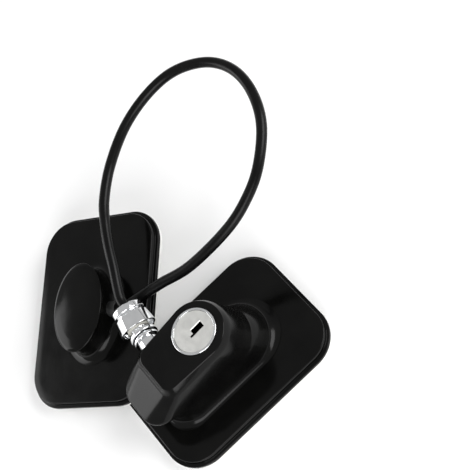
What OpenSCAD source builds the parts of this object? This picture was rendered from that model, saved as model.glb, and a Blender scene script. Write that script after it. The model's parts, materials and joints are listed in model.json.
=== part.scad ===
// Window restrictor cable: a keyed lock block and an anchor knob, each on an
// adhesive plate, joined by a sleeved steel cable with a swivel plug.
// Millimetres, +Z up. The origin is the centre of the lock's adhesive face,
// which lies on the XY plane. +Y runs along the lock plate towards the key
// cylinder, and the plug enters the block from the -X side.

/* [Plates] */
// Width of both plates
plate_w = 55; // [52:0.5:60]
// Length of both plates
plate_l = 75; // [70:0.5:85]
// Corner radius of both plates
plate_r = 13.5; // [10:0.5:16]
// Thickness of the plastic plate
plate_t = 3.8; // [3:0.1:5]
// Thickness of the foam tape under the plate
tape_t = 1.5; // [1:0.1:2]
// Height of the full-size rim below the step
rim_h = 1.6; // [1:0.1:2.4]
// Inset of the raised face from the rim
rim_step = 1.2; // [0.6:0.1:2]

/* [Lock block] */
// Height of the key cylinder's face above the floor, at its centre
face_z = 31.5; // [31:0.1:34]
// Place of the key cylinder along the plate
face_y = 0.6; // [-2:0.1:3]
// Lean of the face towards the foot of the block, in degrees
face_lean = 4; // [2:0.5:6]
// Half width of the flat face
face_half_w = 11.3; // [10.8:0.1:12]
// Half width of the shoulder under the face
shoulder_half_w = 12.3; // [12:0.1:13]
// Half width of the block where it meets the plate
foot_half_w = 13; // [12.6:0.1:14]

/* [Key cylinder] */
// Radius of the bright rim of the cylinder housing
rim_r = 8.6; // [8.2:0.1:9]
// Radius of the housing barrel
housing_r = 6.9; // [6.6:0.05:7]
// Length of the housing below the face
housing_l = 14.5; // [13.5:0.1:15]
// Radius of the core's barrel
core_r = 5.4; // [5:0.05:5.6]
// Length of the keyway
keyway_l = 8; // [7:0.1:9]
// Width of the keyway
keyway_w = 2.3; // [2:0.1:2.6]
// Number of wafer tumblers
wafer_count = 5; // [4:1:6]

/* [Plug and swivel] */
// Radius of the plug's shaft
pin_r = 3; // [2.8:0.05:3.1]
// Radius at the bottom of the latch groove
groove_r = 1.5; // [1.3:0.1:1.6]
// Radius of the swivel ball
ball_r = 3.2; // [3:0.1:3.4]
// Outer radius of the swivel cup's skirt
cup_r = 7; // [6.6:0.1:7.2]
// Turn of the plug's axis away from the square across the block, in degrees
plug_skew = 3; // [2:1:6]
// Rise of the cup's axis above the horizontal, in degrees
cup_rise = 14.5; // [12:0.5:18]
// Turn of the cup's axis seen from above, in degrees
cup_turn = 170; // [166:1:174]

/* [Latch] */
// Travel of the latch bolt over a quarter turn of the key
latch_travel = 1.5; // [1.4:0.1:1.6]
// Distance of the follower post from the cylinder's axis when unlocked
post_start = 3.4; // [3.2:0.1:3.6]

/* [Anchor] */
// Half width of the knob's cap
knob_half_w = 11.2; // [11:0.1:12.5]
// Half length of the knob's cap
knob_half_l = 17; // [16:0.1:18]
// Height of the knob above its plate
knob_h = 12; // [11.5:0.1:13]

/* [Cable] */
// Outer diameter of the sleeved cable
sleeve_d = 4; // [3.6:0.1:4.2]
// Diameter of the steel rope inside the sleeve
rope_d = 2.9; // [2.6:0.1:3]

/* [Hidden] */

fit = 0.05;
gap = 0.3;
eps = 0.01;
smooth = 96;
deck_z = tape_t + plate_t;

// Where the plug crosses the latch, in the block's leaning frame
// (x, v along the face, w out of it), and the plug's direction out of the block
plug_v = -16.2;
plug_w = -5.4;
plug_cross = lean_point(0, plug_v, plug_w);
plug_out = lean_point(-cos(plug_skew), plug_v + sin(plug_skew), plug_w) - plug_cross;
ball_reach = 21.5;
ball_pos = plug_cross + ball_reach * plug_out;
// Point on the cup's axis, t out from the ball's centre
function cup_point(t) = ball_pos
    + t * [cos(cup_rise) * cos(cup_turn), cos(cup_rise) * sin(cup_turn), sin(cup_rise)];

// Levels of the cam and the latch bolt in the leaning frame
cam_top = -housing_l - 0.4;
cam_t = 1.8;
bar_top = cam_top - cam_t - gap;
bar_t = 2;
cam_r = 7;
post_r = 0.8;
chamber_r = 8.6;
spring_r = 0.85;
keeper_w = bar_top - bar_t - gap;
keeper_t = 1.2;

// Anchor plate: it leans on the block's plate, held up by the stiff cable
anchor_pos = [-49, -22.8, 8.7];
anchor_rot = [7.5, -10.7, 43.5];
// Place of the knob on its plate, and height of the cable in it
knob_x = 1.9;
knob_y = -2.1;
exit_z = 9;
// Point on the knob's passage, x out from the knob's axis
function turn_x(a, p) = [p.x, p.y * cos(a) - p.z * sin(a), p.y * sin(a) + p.z * cos(a)];
function turn_y(a, p) = [p.x * cos(a) + p.z * sin(a), p.y, p.z * cos(a) - p.x * sin(a)];
function turn_z(a, p) = [p.x * cos(a) - p.y * sin(a), p.x * sin(a) + p.y * cos(a), p.z];
function knob_point(x) = anchor_pos
    + turn_z(anchor_rot.z, turn_y(anchor_rot.y, turn_x(anchor_rot.x, [knob_x + x, knob_y, exit_z])));

// Route of the cable, from inside the cup round the loop to inside the knob
cable_route = [
    cup_point(4.8), cup_point(9), cup_point(12.5), [-36.9, -10, 29.6], [-43.6, -5.8, 32],
    [-50.6, -2, 33.7], [-58, 2.5, 35], [-66, 8.5, 36], [-74.3, 19, 38],
    [-80, 33, 41.5], [-81, 47.5, 45], [-77.5, 60, 48], [-68.5, 70, 50.3],
    [-57, 74.5, 51.4], [-44, 73.5, 51.3], [-31.5, 67.5, 49.8], [-22, 56.5, 46.3],
    [-18, 46, 42.5], [-17.3, 33.5, 37.7], [-21.7, 15, 30.2], [-28.3, 2.3, 25.2],
    [-33.2, -9.2, 21.4], knob_point(15.5), knob_point(11), knob_point(6)
];
route_steps = 3;

function lean_point(x, v, w) = [x, face_y + v * cos(face_lean) - w * sin(face_lean),
                                face_z + v * sin(face_lean) + w * cos(face_lean)];

// Catmull-Rom point between b and c
function spline(a, b, c, d, t) =
    0.5 * (2 * b + (c - a) * t + (2 * a - 5 * b + 4 * c - d) * t * t
           + (3 * b - a - 3 * c + d) * t * t * t);
function clamp_point(p, i) = p[max(0, min(len(p) - 1, i))];
function smooth_path(p, n) = concat(
    [for (i = [0 : len(p) - 2], k = [0 : n - 1])
        spline(clamp_point(p, i - 1), p[i], p[i + 1], clamp_point(p, i + 2), k / n)],
    [p[len(p) - 1]]);

function unit(a) = a / norm(a);
function tangent(p, i) = unit(clamp_point(p, i + 1) - clamp_point(p, i - 1));
// Side vector carried along the path so that the tube doesn't twist
function sides(p, i = 0, last = [0, 0, 1], out = []) =
    i == len(p) ? out :
    let (t = tangent(p, i), s = unit(last - (last * t) * t))
    sides(p, i + 1, s, concat(out, [s]));

function ring_points(p, r, n) =
    let (side = sides(p))
    [for (i = [0 : len(p) - 1], k = [0 : n - 1])
        let (s = side[i], b = cross(tangent(p, i), s), a = 360 * k / n)
        p[i] + r * (cos(a) * s + sin(a) * b)];
// Wall quads of one skin, whose points start at index first
function skin_faces(rings, n, first, inward) =
    [for (i = [0 : rings - 2], k = [0 : n - 1])
        let (a = first + i * n + k, b = first + i * n + (k + 1) % n,
             q = [a, b, b + n, a + n])
        inward ? [q[3], q[2], q[1], q[0]] : q];

module tube_along(p, r, n) {
    last = (len(p) - 1) * n;
    start = [[for (k = [n - 1 : -1 : 0]) k]];
    end = [[for (k = [0 : n - 1]) last + k]];
    polyhedron(points = ring_points(p, r, n), faces = concat(start, skin_faces(len(p), n, 0, false), end));
}

module hollow_tube_along(p, r, inner_r, n) {
    last = (len(p) - 1) * n;
    inner = len(p) * n;
    start = [for (k = [0 : n - 1]) [(k + 1) % n, k, inner + k, inner + (k + 1) % n]];
    end = [for (k = [0 : n - 1])
        [last + k, last + (k + 1) % n, inner + last + (k + 1) % n, inner + last + k]];
    polyhedron(points = concat(ring_points(p, r, n), ring_points(p, inner_r, n)),
               faces = concat(start, skin_faces(len(p), n, 0, false),
                              skin_faces(len(p), n, inner, true), end));
}

module coil_spring(r, wire_r, length, turns) {
    steps = turns * 10;
    path = [for (i = [0 : steps])
        [r * cos(36 * i), r * sin(36 * i), length * i / steps]];
    tube_along(path, wire_r, 5);
}

// Rounded rectangle of half sizes hx, hy about the origin
module rounded_plate(hx, hy, r, h) {
    linear_extrude(h) {
        square([2 * (hx - r), 2 * hy], center = true);
        square([2 * hx, 2 * (hy - r)], center = true);
        for (sx = [-1, 1], sy = [-1, 1])
            translate([sx * (hx - r), sy * (hy - r)]) circle(r, $fn = smooth);
    }
}

// Block outline: a round end about (0, top) and a squarer end at y = low
module block_slice(half_w, top, low, corner, h) {
    linear_extrude(h) {
        translate([0, top]) circle(half_w, $fn = 48);
        for (s = [-1, 1])
            translate([s * (half_w - corner), low + corner]) circle(corner, $fn = 32);
    }
}

function oval(a, b) = [for (i = [0 : 47]) [a * cos(7.5 * i), b * sin(7.5 * i)]];
module oval_slice(a, b, h) linear_extrude(h) polygon(oval(a, b));

module lean() translate([0, face_y, face_z]) rotate([face_lean, 0, 0]) children();
// Local Z runs along the plug, into the block
module plug_axis() lean() translate([0, plug_v, plug_w]) rotate([0, 90, -plug_skew]) children();
module cup_axis() translate(ball_pos) rotate([0, 90 - cup_rise, cup_turn]) children();
module at_anchor() translate(anchor_pos) rotate(anchor_rot) children();

// Countersunk screw with its head at z = 0, pointing along +Z
module countersunk_screw(shank_r, head_r, length) {
    difference() {
        union() {
            cylinder(h = length, r = shank_r, $fn = 32);
            cylinder(h = head_r - shank_r, r1 = head_r, r2 = shank_r, $fn = 48);
        }
        for (a = [0, 90])
            rotate(a) translate([-head_r * 0.6, -0.3, -eps]) cube([head_r * 1.2, 0.6, 0.6]);
    }
}

// ---- plates ----
body_screw_spots = [[-5.5, 15], [5.5, 15], [-8, -20], [8, -20]];
knob_screw_spots = [[knob_x, knob_y - 11], [knob_x, knob_y + 11]];
screw_shank_r = 1.45;
screw_head_r = 2.8;

module base_plate(spots) {
    difference() {
        translate([0, 0, tape_t]) {
            rounded_plate(plate_w / 2, plate_l / 2, plate_r, rim_h);
            translate([0, 0, rim_h - eps])
                rounded_plate(plate_w / 2 - rim_step, plate_l / 2 - rim_step,
                              plate_r - rim_step, plate_t - rim_h + eps);
        }
        for (s = spots) translate([s.x, s.y, tape_t]) {
            translate([0, 0, -1]) cylinder(h = plate_t + 2, r = screw_shank_r + 0.15, $fn = 32);
            translate([0, 0, -eps])
                cylinder(h = screw_head_r - screw_shank_r + 0.2, r1 = screw_head_r + 0.2,
                         r2 = screw_shank_r, $fn = 48);
        }
    }
}

module adhesive_pad()
    rounded_plate(plate_w / 2 - 0.3, plate_l / 2 - 0.3, plate_r - 0.3, tape_t);

module lock_plate() color([0.05, 0.05, 0.05]) base_plate(body_screw_spots);
module lock_adhesive_pad() color([0.93, 0.93, 0.91]) adhesive_pad();
module anchor_plate() color([0.07, 0.07, 0.07]) at_anchor() base_plate(knob_screw_spots);
module anchor_adhesive_pad() color([0.93, 0.93, 0.91]) at_anchor() adhesive_pad();

// ---- lock block ----
module block_outside() {
    // flare onto the plate
    hull() {
        translate([0, 0, deck_z]) block_slice(15, 11, -29.5, 9, 0.4);
        translate([0, 0, deck_z + 2.6]) block_slice(foot_half_w, 8.5, -27.6, 9, 0.4);
    }
    // lower part, kept short so that the anchor plate's corner clears it
    hull() {
        translate([0, 0, deck_z]) block_slice(foot_half_w - 0.2, 8.5, -27.2, 10, 1);
        translate([0, 0, 15.6]) block_slice(12.3, 4.5, -26.8, 10, 0.4);
    }
    // overhanging upper part with the sloped end and the chamfered edges
    hull() {
        translate([0, 0, 15.6]) block_slice(12.3, 4.5, -28, 10, 0.4);
        translate([0, 0, 18.6]) block_slice(shoulder_half_w, 3, -34.2, 8, 1);
        lean() translate([0, 0, -2]) block_slice(shoulder_half_w, 0, -22.5, 5, 0.2);
        lean() translate([0, 0, -0.2]) block_slice(face_half_w, 0, -21.5, 4, 0.2);
    }
}

flange_t = 2.8;
channel_v = plug_v + 0.4;
channel_l = -8.6 - channel_v;

module lock_body() color([0.06, 0.06, 0.06]) difference() {
    block_outside();
    lean() {
        translate([0, 0, -flange_t]) cylinder(h = 8, r = rim_r + fit, $fn = smooth);
        translate([0, 0, keeper_w]) cylinder(h = -keeper_w, r = housing_r + fit, $fn = smooth);
        // chamber for the cam, open at the bottom
        translate([0, 0, -40]) cylinder(h = 40 + cam_top + 0.3, r = chamber_r, $fn = smooth);
        // channel for the latch bolt, narrow where it crosses the plug's bore
        translate([-3.2, channel_v, keeper_w - 1])
            cube([6.4, channel_l, plug_w - pin_r - 0.3 - keeper_w + 1]);
        translate([-1.4, channel_v, keeper_w]) cube([2.8, channel_l, plug_w + pin_r + 0.5 - keeper_w]);
        // recess for the keeper plate
        translate([-9.2, -15.7, keeper_w - 12]) cube([18.4, 26.4, 12]);
        for (s = [-1, 1]) translate([s * 6.5, -12.5, keeper_w - 1]) cylinder(h = 6, r = 1, $fn = 24);
        // cross hole for the pin that keeps the housing
        translate([housing_r, -14, -9]) rotate([-90, 0, 0]) cylinder(h = 24, r = 1, $fn = 32);
    }
    // room for the bar's slide under the chamber's edge
    lean() translate([-3.2, -9, keeper_w - 1]) cube([6.4, 3, bar_t + 2 * gap + 1]);
    plug_axis() translate([0, 0, -40]) cylinder(h = 46, r = pin_r + fit, $fn = smooth);
    plug_axis() translate([0, 0, -40]) cylinder(h = 40 - 10.4, r = 3.9, $fn = smooth);
    for (s = body_screw_spots) translate([s.x, s.y, deck_z - 1])
        cylinder(h = 8.4, r = screw_shank_r, $fn = 32);
}

module body_screws() color([0.7, 0.7, 0.72])
    for (s = body_screw_spots) translate([s.x, s.y, tape_t + 0.1])
        countersunk_screw(screw_shank_r - 0.02, screw_head_r, 9.6);

// ---- key cylinder ----
head_r = 7.7;
head_t = 1.6;
square_half = 1.65;

module cylinder_housing() color([0.75, 0.76, 0.74]) lean() difference() {
    union() {
        translate([0, 0, -flange_t]) cylinder(h = flange_t + 0.7, r = rim_r, $fn = smooth);
        translate([0, 0, -housing_l]) cylinder(h = housing_l, r = housing_r, $fn = smooth);
    }
    translate([0, 0, -housing_l - 1]) cylinder(h = housing_l + 3, r = core_r + fit, $fn = smooth);
    translate([0, 0, -head_t]) cylinder(h = head_t + 2, r = head_r + fit, $fn = smooth);
    translate([housing_r, -14, -9]) rotate([-90, 0, 0]) cylinder(h = 24, r = 1, $fn = 32);
}

module housing_pin() color([0.6, 0.6, 0.62]) lean()
    translate([housing_r, -6.5, -9]) rotate([-90, 0, 0]) difference() {
        cylinder(h = 13, r = 0.98, $fn = 32);
        translate([0, 0, -1]) cylinder(h = 15, r = 0.5, $fn = 24);
    }

wafer_pitch = 2.1;
wafer_t = 0.8;
module wafer_levels() for (i = [0 : wafer_count - 1])
    translate([0, 0, -3.2 - i * wafer_pitch]) children();

module keyway(h) {
    translate([-keyway_w / 2, -keyway_l / 2 + 2, -h]) cube([keyway_w, keyway_l - 2, h + 2]);
    translate([-keyway_w / 2, -keyway_l / 2, -h]) cube([keyway_w * 0.6, 3, h + 2]);
}

module cylinder_core() color([0.78, 0.79, 0.77]) lean() difference() {
    union() {
        translate([0, 0, -head_t + fit]) cylinder(h = head_t + 0.45, r = head_r, $fn = smooth);
        translate([0, 0, -housing_l - 0.3]) cylinder(h = housing_l, r = core_r, $fn = smooth);
        translate([-square_half, -square_half, cam_top - cam_t + 0.1])
            cube([2 * square_half, 2 * square_half, cam_t + 1]);
    }
    keyway(housing_l - 1);
    wafer_levels() translate([-2.7, -core_r - 1, -wafer_t - 0.05])
        cube([5.4, 2 * core_r + 2, wafer_t + 0.1]);
    translate([0, 0, -40]) cylinder(h = 40 - housing_l + 1.5, r = 0.95, $fn = 24);
}

module wafer_tumblers() color([0.8, 0.68, 0.35]) lean()
    wafer_levels() translate([0, 0, -wafer_t]) difference() {
        intersection() {
            translate([-2.6, -4.8, 0]) cube([5.2, 9.6, wafer_t]);
            translate([0, 0, -1]) cylinder(h = 3, r = core_r - 0.1, $fn = 48);
        }
        translate([-1.2, -4, -1]) cube([2.4, 7.2, 3]);
        // notch that holds the wafer's spring
        translate([1.7, 0, -1]) cube([2, 6, 3]);
    }

module wafer_springs() color([0.7, 0.7, 0.7]) lean()
    wafer_levels() translate([2.2, 0.1, -wafer_t / 2]) rotate([-90, 0, 0])
        coil_spring(0.3, 0.08, 4, 6);

// ---- cam and latch ----
// The slot is an even spiral, so the latch travel is in proportion to the turn
post_rate = latch_travel / 90;
function slot_point(a, side) =
    let (r = post_start + post_rate * a + side * (post_r + 0.25))
    [r * cos(-90 - a), r * sin(-90 - a)];
slot_edge = concat([for (a = [0 : 6 : 90]) slot_point(a, 1)],
                   [for (a = [90 : -6 : 0]) slot_point(a, -1)]);

module cam() color([0.72, 0.72, 0.7]) lean() translate([0, 0, cam_top - cam_t]) difference() {
    cylinder(h = cam_t, r = cam_r, $fn = smooth);
    translate([0, 0, -1]) {
        linear_extrude(cam_t + 2) polygon(slot_edge);
        for (a = [0, 90]) rotate(-90 - a) translate([post_start + post_rate * a, 0, 0])
            cylinder(h = cam_t + 2, r = post_r + 0.25, $fn = 32);
    }
    translate([-square_half - fit, -square_half - fit, -1])
        cube([2 * (square_half + fit), 2 * (square_half + fit), cam_t + 2]);
}

module cam_screw() color([0.65, 0.65, 0.67]) lean() {
    translate([0, 0, cam_top - cam_t]) cylinder(h = 4.4, r = 0.9, $fn = 24);
    translate([0, 0, cam_top - cam_t - 1]) difference() {
        cylinder(h = 1, r = 2.2, $fn = 32);
        for (a = [0, 90]) rotate(a) translate([-1.4, -0.25, -1]) cube([2.8, 0.5, 1.5]);
    }
}

nose_tip = plug_v + pin_r + 2 * gap;
nose_back = -8.9 - gap;
module latch_bolt() color([0.74, 0.74, 0.72]) lean() {
    // bar under the cam
    translate([-2.9, nose_tip, bar_top - bar_t]) cube([5.8, -nose_tip - 2.5, bar_t]);
    // lug that the spring presses on
    translate([2.8, -5.2, bar_top - bar_t]) cube([2, 1.2, bar_t]);
    // post that follows the cam's slot
    translate([0, -post_start, bar_top - 0.1]) cylinder(h = cam_t + 0.4, r = post_r, $fn = 32);
    // upright, and the narrow nose that enters the plug's groove
    translate([-2.9, nose_tip, bar_top - 0.1])
        cube([5.8, nose_back - nose_tip, plug_w - pin_r - 0.6 - bar_top]);
    translate([-1.1, nose_tip, plug_w - pin_r - 0.8])
        cube([2.2, nose_back - nose_tip, 2 * pin_r + 0.6]);
}

module latch_spring() color([0.7, 0.7, 0.72]) lean()
    translate([3.9, -3.9, bar_top - bar_t / 2]) rotate([-90, 0, 0])
        coil_spring(spring_r - 0.15, 0.15, 11.2, 9);

module keeper_plate() color([0.55, 0.56, 0.55]) lean() translate([0, 0, keeper_w - keeper_t])
    difference() {
        translate([-9, -15.5, 0]) cube([18, 26, keeper_t]);
        for (s = [-1, 1]) translate([s * 6.5, -12.5, -1]) cylinder(h = 4, r = 1.1, $fn = 24);
    }

module keeper_screws() color([0.65, 0.65, 0.67]) lean() for (s = [-1, 1])
    translate([s * 6.5, -12.5, keeper_w - keeper_t - 0.8]) {
        cylinder(h = 0.8, r = 1.9, $fn = 32);
        cylinder(h = 5.5, r = 1, $fn = 24);
    }

// ---- plug and swivel ----
module plug_socket() color([0.85, 0.86, 0.87]) plug_axis() difference() {
    union() {
        translate([0, 0, -14.8]) cylinder(h = 4.35, r = 3.85, $fn = smooth);
        translate([0, 0, -15.6]) cylinder(h = 1.2, r = 4.9, $fn = smooth);
    }
    translate([0, 0, -20]) cylinder(h = 20, r = pin_r + fit, $fn = smooth);
}

module plug_pin() color([0.86, 0.87, 0.88]) plug_axis() {
    translate([0, 0, -ball_reach]) sphere(ball_r, $fn = smooth);
    rotate_extrude($fn = smooth) polygon([
        [0, -ball_reach], [1.9, -ball_reach], [1.9, -18.7], [2.6, -18.3], [3.8, -17.9],
        [5.4, -17.7], [5.4, -16.3], [5.1, -16], [pin_r, -16], [pin_r, -9.7], [pin_r - 0.7, -9.7], [pin_r - 0.7, -8.3],
        [pin_r, -8.3], [pin_r, -1.6], [groove_r, -1.6], [groove_r, 1.5], [pin_r, 1.5],
        [pin_r, 3.6], [pin_r - 1.2, 5], [0, 5]
    ]);
}

module plug_o_ring() color([0.08, 0.08, 0.08]) plug_axis() translate([0, 0, -9])
    rotate_extrude($fn = smooth) translate([pin_r - 0.36, 0]) circle(0.3, $fn = 24);

// Cup parts stand on the cup's own axis, with the ball's centre at 0
module swivel_cup() color([0.84, 0.85, 0.86]) cup_axis() difference() {
    union() {
        translate([0, 0, -0.8]) cylinder(h = 5.6, r1 = cup_r, r2 = cup_r - 0.7, $fn = smooth);
        translate([0, 0, 4.7]) cylinder(h = 1.1, r = cup_r - 1.8, $fn = smooth);
    }
    // skirt, open towards the plug
    translate([0, 0, -3]) cylinder(h = 4, r = cup_r - 0.8, $fn = smooth);
    cylinder(h = 4, r = ball_r + 1, $fn = smooth);
    cylinder(h = 7, r = rope_d / 2 + 1.4, $fn = smooth);
}

module swivel_seat() color([0.88, 0.87, 0.82]) cup_axis() difference() {
    translate([0, 0, -0.8]) cylinder(h = 4.7, r = ball_r + 0.95, $fn = smooth);
    sphere(ball_r + fit, $fn = smooth);
    translate([0, 0, -3]) cylinder(h = 3, r = ball_r - 0.25, $fn = smooth);
    translate([0, 0, 2]) cylinder(h = 3, r = 1, $fn = 32);
}

module swivel_cap() color([0.84, 0.85, 0.86]) cup_axis() difference() {
    translate([0, 0, 5.8]) union() {
        cylinder(h = 2.3, r = cup_r - 0.9, $fn = smooth);
        translate([0, 0, 2.3]) cylinder(h = 0.7, r1 = cup_r - 0.9, r2 = cup_r - 1.8, $fn = smooth);
    }
    translate([0, 0, 4]) cylinder(h = 6, r = sleeve_d / 2 + fit, $fn = smooth);
}

module cable_ferrule() color([0.7, 0.71, 0.72]) cup_axis() difference() {
    translate([0, 0, 4.3]) cylinder(h = 1.45, r = rope_d / 2 + 1.35, $fn = 48);
    translate([0, 0, 3]) cylinder(h = 4, r = sleeve_d / 2 + fit, $fn = 48);
}

// ---- cable ----
route = smooth_path(cable_route, route_steps);

module wire_rope() color([0.6, 0.61, 0.62])
    tube_along(route, rope_d / 2 - 0.05, 8);

module cable_sleeve() color([0.06, 0.06, 0.06])
    hollow_tube_along(route, sleeve_d / 2, rope_d / 2 + 0.05, 10);

// ---- anchor knob ----
knob_base = deck_z;

module knob_outside() {
    hull() {
        translate([0, 0, knob_base]) oval_slice(14.8, 20, 0.3);
        translate([0, 0, knob_base + 1.2]) oval_slice(12.6, 17.6, 0.3);
    }
    hull() {
        translate([0, 0, knob_base + 1.2]) oval_slice(12.6, 17.6, 0.3);
        translate([0, 0, knob_base + 3.4]) oval_slice(10.4, 16, 0.3);
    }
    hull() {
        translate([0, 0, knob_base + 3.4]) oval_slice(10.4, 16, 0.3);
        translate([0, 0, knob_base + knob_h - 3]) oval_slice(10.4, 16, 0.3);
    }
    hull() {
        translate([0, 0, knob_base + knob_h - 3]) oval_slice(10.4, 16, 0.3);
        translate([0, 0, knob_base + knob_h - 2]) oval_slice(knob_half_w, knob_half_l, 1);
        translate([0, 0, knob_base + knob_h - 0.3]) oval_slice(knob_half_w - 1.2, knob_half_l - 1.2, 0.3);
    }
}

module anchor_knob() color([0.07, 0.07, 0.07]) at_anchor() translate([knob_x, knob_y, 0]) difference() {
    knob_outside();
    // passage for the cable and pocket for its stop
    translate([0, 0, exit_z]) rotate([0, 90, 0]) cylinder(h = 30, r = 2.9, $fn = 48);
    translate([-4.2, -3.6, knob_base - 1]) cube([9, 7.2, exit_z - knob_base + 4.4]);
    for (y = [-11, 11]) translate([0, y, knob_base - 1])
        cylinder(h = 8.4, r = screw_shank_r, $fn = 32);
}

module knob_screws() color([0.7, 0.7, 0.72]) at_anchor()
    for (s = knob_screw_spots) translate([s.x, s.y, tape_t + 0.1])
        countersunk_screw(screw_shank_r - 0.02, screw_head_r, 9.6);

module cable_boot() color([0.05, 0.05, 0.05]) at_anchor() translate([knob_x, knob_y, exit_z])
    rotate([0, 90, 0]) difference() {
        translate([0, 0, 5.4]) cylinder(h = 8.2, r = 2.85, $fn = 48);
        translate([0, 0, 4]) cylinder(h = 14, r = sleeve_d / 2 + fit, $fn = 48);
    }

module cable_stop() color([0.62, 0.62, 0.64]) at_anchor() translate([knob_x, knob_y, exit_z])
    rotate([0, 90, 0]) difference() {
        translate([0, 0, -3.6]) cylinder(h = 7.6, r = 3, $fn = 48);
        translate([0, 0, -1.5]) cylinder(h = 8, r = rope_d / 2 + 0.1, $fn = 48);
    }

lock_plate();
lock_adhesive_pad();
lock_body();
body_screws();
cylinder_housing();
housing_pin();
cylinder_core();
wafer_tumblers();
wafer_springs();
cam();
cam_screw();
latch_bolt();
latch_spring();
keeper_plate();
keeper_screws();
plug_socket();
plug_pin();
plug_o_ring();
swivel_seat();
swivel_cup();
swivel_cap();
cable_ferrule();
wire_rope();
cable_sleeve();
cable_boot();
cable_stop();
anchor_knob();
knob_screws();
anchor_plate();
anchor_adhesive_pad();
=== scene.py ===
"""Looks of the window restrictor cable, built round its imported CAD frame.

The lengths in the classes are in millimetres and turn into metres when a mesh
is made. Every piece is a surface worked out with numpy: a row of outlines
carried up a softened profile, or a profile turned about an axis.
"""
import json
import logging
from collections.abc import Sequence
from dataclasses import dataclass, field
from enum import Enum

import bpy
import numpy as np
from mathutils import Matrix

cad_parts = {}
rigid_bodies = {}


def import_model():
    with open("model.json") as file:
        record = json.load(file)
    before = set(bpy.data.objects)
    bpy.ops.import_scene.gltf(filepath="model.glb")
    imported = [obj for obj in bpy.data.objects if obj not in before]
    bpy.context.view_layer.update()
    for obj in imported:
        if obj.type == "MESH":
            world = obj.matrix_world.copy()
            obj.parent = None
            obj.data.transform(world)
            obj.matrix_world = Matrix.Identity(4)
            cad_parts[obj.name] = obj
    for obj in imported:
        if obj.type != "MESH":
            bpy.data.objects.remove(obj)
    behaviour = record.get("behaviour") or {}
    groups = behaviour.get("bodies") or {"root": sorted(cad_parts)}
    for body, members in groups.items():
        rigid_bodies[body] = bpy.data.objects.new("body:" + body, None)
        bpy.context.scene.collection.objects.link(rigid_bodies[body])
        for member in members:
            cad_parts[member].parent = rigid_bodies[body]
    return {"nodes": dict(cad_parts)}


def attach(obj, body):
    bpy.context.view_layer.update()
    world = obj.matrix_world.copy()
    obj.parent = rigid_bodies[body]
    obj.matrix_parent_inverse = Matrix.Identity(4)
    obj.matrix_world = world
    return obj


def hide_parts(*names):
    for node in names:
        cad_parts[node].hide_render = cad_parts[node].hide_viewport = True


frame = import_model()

log = logging.getLogger("window_restrictor")
MM = 0.001
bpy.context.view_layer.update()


# ---------------------------------------------------------------- geometry
class Axis(Enum):
    """The three axes that a pose may turn about."""

    X = 0
    Y = 1
    Z = 2


def turn(axis: Axis, degrees: float) -> np.ndarray:
    """Rotation matrix about one axis by the right-hand rule.

    Args:
        axis: the axis to turn about.
        degrees: the angle.

    Returns:
        A 3 by 3 matrix.
    """
    a = np.radians(degrees)
    i, j = [(1, 2), (2, 0), (0, 1)][axis.value]
    m = np.eye(3)
    m[i, i] = m[j, j] = np.cos(a)
    m[i, j], m[j, i] = -np.sin(a), np.sin(a)
    return m


@dataclass(frozen=True)
class Pose:
    """Where a piece's own frame stands in the row frame, in millimetres."""

    origin: tuple[float, float, float] = (0.0, 0.0, 0.0)
    turns: tuple[tuple[Axis, float], ...] = ()
    parent: "Pose | None" = None

    def apply(self, points: np.ndarray) -> np.ndarray:
        """Points of the piece's frame carried into the row frame.

        Args:
            points: array of shape (..., 3).

        Returns:
            The moved points, of the same shape.
        """
        m = np.eye(3)
        for axis, degrees in self.turns:
            m = m @ turn(axis, degrees)
        moved = points @ m.T + np.array(self.origin)
        return self.parent.apply(moved) if self.parent else moved


FLOOR = Pose()
# Middle of the key cylinder's face, and its lean towards the foot in degrees
FACE_Y, FACE_Z = 0.6, 31.5
FACE_LEAN = 4.0
LEAN = Pose((0.0, FACE_Y, FACE_Z), ((Axis.X, FACE_LEAN),))
PLUG = Pose((0.0, -16.2, -5.4), ((Axis.Z, -3.0), (Axis.Y, 90.0)), LEAN)
BALL_REACH = 21.5
BALL = tuple(PLUG.apply(np.array([0.0, 0.0, -BALL_REACH])))
CUP = Pose(BALL, ((Axis.Z, 170.0), (Axis.Y, 75.5)))
ANCHOR = Pose((-49.0, -22.8, 8.7), ((Axis.Z, 43.5), (Axis.Y, -10.7), (Axis.X, 7.5)))
KNOB = Pose((1.9, -2.1, 0.0), (), ANCHOR)
KNOB_EXIT = Pose((1.9, -2.1, 9.0), ((Axis.Y, 90.0),), ANCHOR)


def on_axis(pose: Pose, height: float) -> tuple[float, float, float]:
    """Point at a height on a pose's own Z axis, in the row frame."""
    x, y, z = pose.apply(np.array([0.0, 0.0, height]))
    return float(x), float(y), float(z)


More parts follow.
